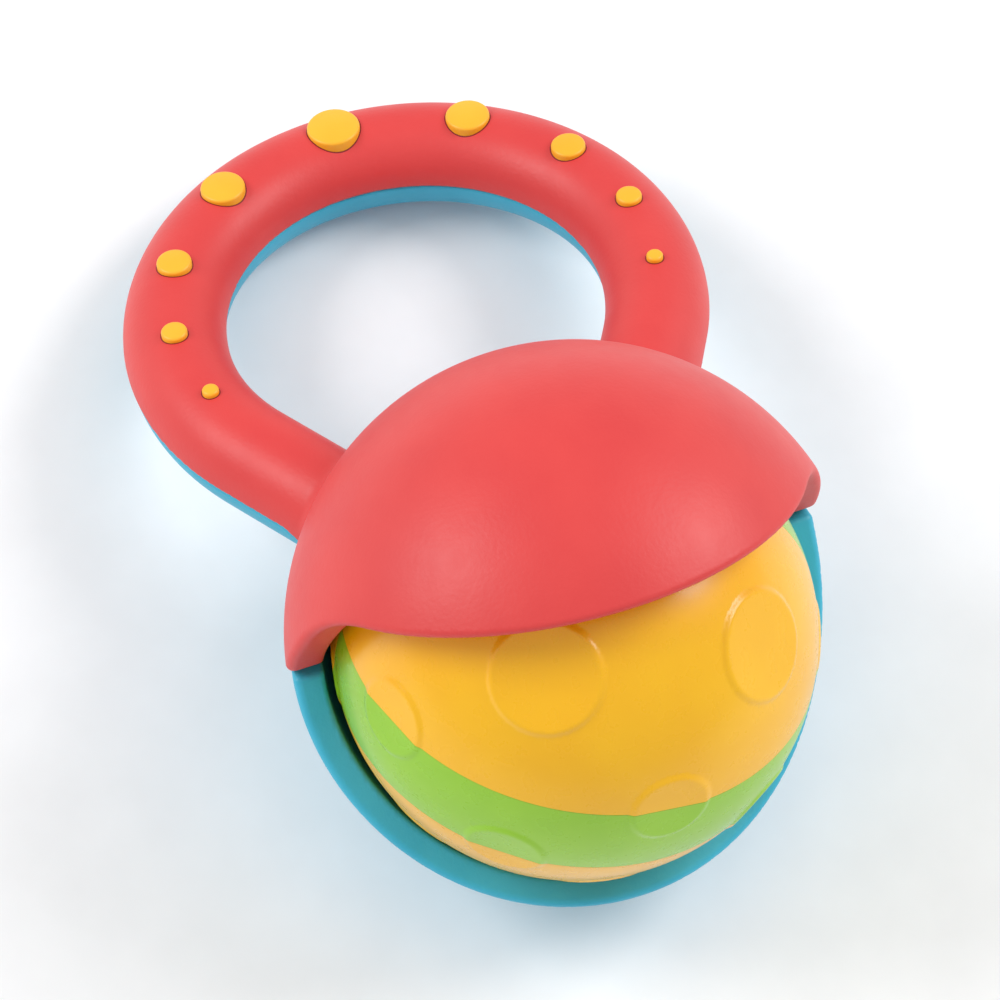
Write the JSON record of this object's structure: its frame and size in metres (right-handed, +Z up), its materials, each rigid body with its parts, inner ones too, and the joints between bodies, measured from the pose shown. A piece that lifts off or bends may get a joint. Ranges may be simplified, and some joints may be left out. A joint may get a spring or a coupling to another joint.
{
  "type": "baby rattle",
  "caption": "Ring-handled baby rattle with a round open-mouthed head that holds a turning two-colour ball with loose beads inside.",
  "frame": {"origin": "on the ground under the middle of the rattle as it lies at rest", "axes": "+X from the ring towards the head, +Z up, +Y to the left seen from the ring"},
  "size_m": [0.1226, 0.0774, 0.071],
  "materials": {
    "red_shell": "satin coral red",
    "blue_shell": "satin turquoise",
    "yellow_dots": "satin warm yellow",
    "yellow_ball": "glossy yellow",
    "green_ball": "glossy lime green",
    "bead": "hard white plastic"
  },
  "bodies": {
    "shells": {"upper_shell": "red_shell", "lower_shell": "blue_shell", "dot_strip": "yellow_dots"},
    "ball": {"ball_yellow_half": "yellow_ball", "ball_green_half": "green_ball", "green_stripe": "green_ball", "yellow_stripe": "yellow_ball"},
    "bead_1": {"bead_1": "bead"},
    "bead_2": {"bead_2": "bead"},
    "bead_3": {"bead_3": "bead"},
    "bead_4": {"bead_4": "bead"},
    "bead_5": {"bead_5": "bead"}
  },
  "joints": [
    {"name": "ball_roll", "type": "hinge", "parent": "shells", "child": "ball", "pos_m": [0.03126, 0, 0.03397], "axis": [0, 1, 0], "continuous": true},
    {"name": "bead_1_run", "type": "hinge", "parent": "ball", "child": "bead_1", "pos_m": [0.03126, 0, 0.03397], "axis": [0, 1, 0], "continuous": true},
    {"name": "bead_2_run", "type": "hinge", "parent": "ball", "child": "bead_2", "pos_m": [0.03126, 0, 0.03397], "axis": [0, 1, 0], "continuous": true},
    {"name": "bead_3_run", "type": "hinge", "parent": "ball", "child": "bead_3", "pos_m": [0.03126, 0, 0.03397], "axis": [0, 1, 0], "continuous": true},
    {"name": "bead_4_run", "type": "hinge", "parent": "ball", "child": "bead_4", "pos_m": [0.03126, 0, 0.03397], "axis": [0, 1, 0], "continuous": true},
    {"name": "bead_5_run", "type": "hinge", "parent": "ball", "child": "bead_5", "pos_m": [0.03126, 0, 0.03397], "axis": [0, 1, 0], "continuous": true}
  ]
}
